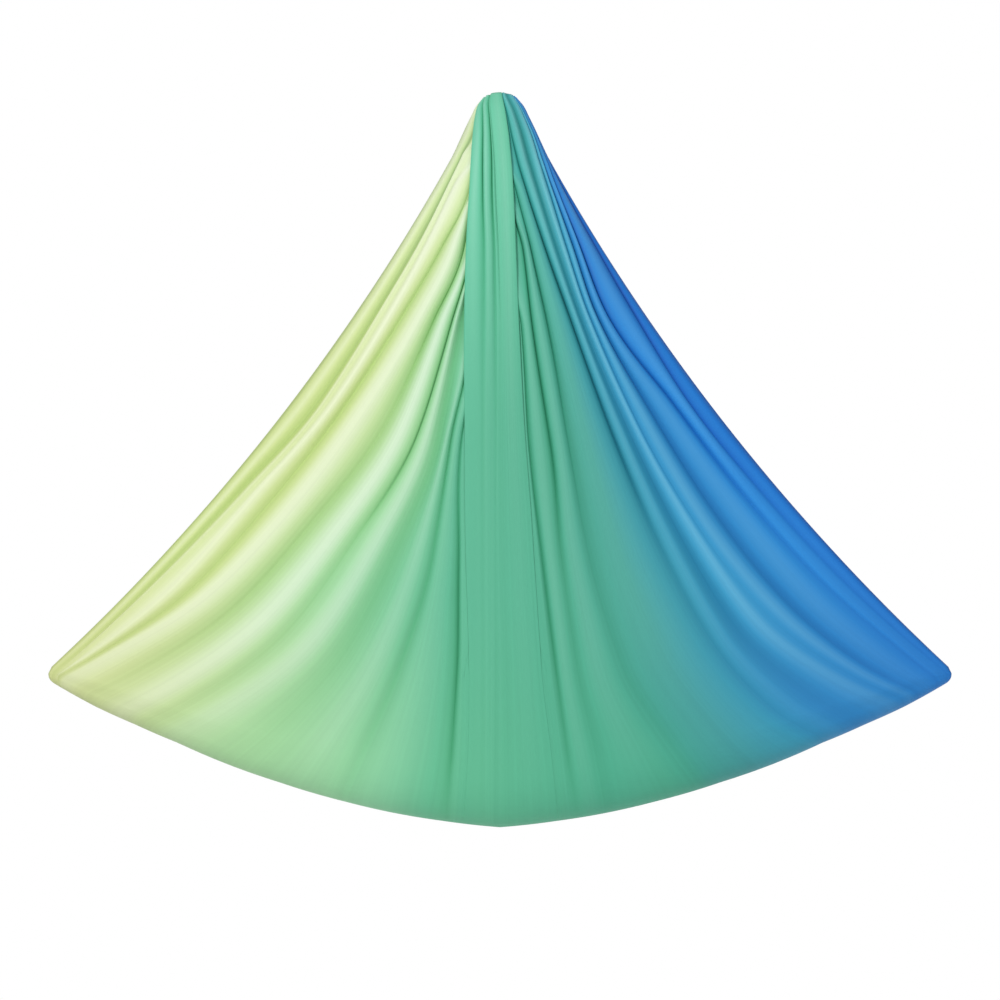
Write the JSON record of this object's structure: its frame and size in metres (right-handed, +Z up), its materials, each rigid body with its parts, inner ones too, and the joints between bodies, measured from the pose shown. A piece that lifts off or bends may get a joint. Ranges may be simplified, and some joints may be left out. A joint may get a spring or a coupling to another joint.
{
  "type": "aerial hammock",
  "caption": "Aerial hammock of dip-dyed nylon tricot, gathered to a hidden bearing swivel and screw-lock carabiners and spread wide at the bottom of its loop.",
  "frame": {"origin": "centre of the swivel's top eye, which the hammock hangs by", "axes": "+Z up, +X along the spread cloth to the cobalt side, -Y to the front"},
  "size_m": [2.6232, 0.3044, 2.1337],
  "materials": {
    "anodised_aluminium": "anodised, satin",
    "plated_steel": "zinc plated",
    "bearing_steel": "ground and polished",
    "cage_brass": "machined",
    "seal_rubber": "matt",
    "carabiner_steel": "forged and plated, satin",
    "anodised_sleeve": "anodised, ribbed",
    "nylon_tricot": "fine knit, dip-dyed across its width"
  },
  "bodies": {
    "top_eye": {"swivel_top_eye": "anodised_aluminium", "bearing_collar": "plated_steel", "lower_race": "bearing_steel"},
    "ball_cage": {"ball_cage": "cage_brass"},
    "hanger": {"upper_race": "bearing_steel", "stem_nut": "plated_steel", "swivel_stem": "plated_steel", "dust_seal": "seal_rubber", "swivel_lower_eye": "anodised_aluminium", "front_carabiner_body": "carabiner_steel", "front_gate_pin": "bearing_steel", "back_carabiner_body": "carabiner_steel", "back_gate_pin": "bearing_steel", "hammock_cloth_front_half": "nylon_tricot", "hammock_cloth_back_half": "nylon_tricot", "front_choke_knot": "nylon_tricot", "back_choke_knot": "nylon_tricot", "front_tail": "nylon_tricot", "back_tail": "nylon_tricot"},
    "front_gate": {"front_gate": "carabiner_steel", "front_gate_spring": "bearing_steel"},
    "front_sleeve": {"front_lock_sleeve": "anodised_sleeve"},
    "back_gate": {"back_gate": "carabiner_steel", "back_gate_spring": "bearing_steel"},
    "back_sleeve": {"back_lock_sleeve": "anodised_sleeve"}
  },
  "joints": [
    {"name": "swivel_spin", "type": "hinge", "parent": "top_eye", "child": "hanger", "pos_m": [0, 0, 0], "axis": [0, 0, 1], "continuous": true},
    {"name": "cage_spin", "type": "hinge", "parent": "top_eye", "child": "ball_cage", "pos_m": [0, 0, 0], "axis": [0, 0, 1], "continuous": true},
    {"name": "front_gate_hinge", "type": "hinge", "parent": "hanger", "child": "front_gate", "pos_m": [0.031, -0.01771, -0.11883], "axis": [0, 0.9511, -0.309], "range_deg": [0, 25], "stiffness_Nm_per_rad": 0.1, "springref_deg": -20.05},
    {"name": "front_sleeve_slide", "type": "slide", "parent": "front_gate", "child": "front_sleeve", "axis": [0, -0.309, -0.9511], "range_m": [0, 0.01]},
    {"name": "back_gate_hinge", "type": "hinge", "parent": "hanger", "child": "back_gate", "pos_m": [-0.031, 0.01771, -0.11883], "axis": [0, -0.9511, -0.309], "range_deg": [0, 25], "stiffness_Nm_per_rad": 0.1, "springref_deg": -20.05},
    {"name": "back_sleeve_slide", "type": "slide", "parent": "back_gate", "child": "back_sleeve", "axis": [0, 0.309, -0.9511], "range_m": [0, 0.01]}
  ],
  "couplings": [
    {"joint": "cage_spin", "follows": "swivel_spin", "ratio": 0.5}
  ]
}
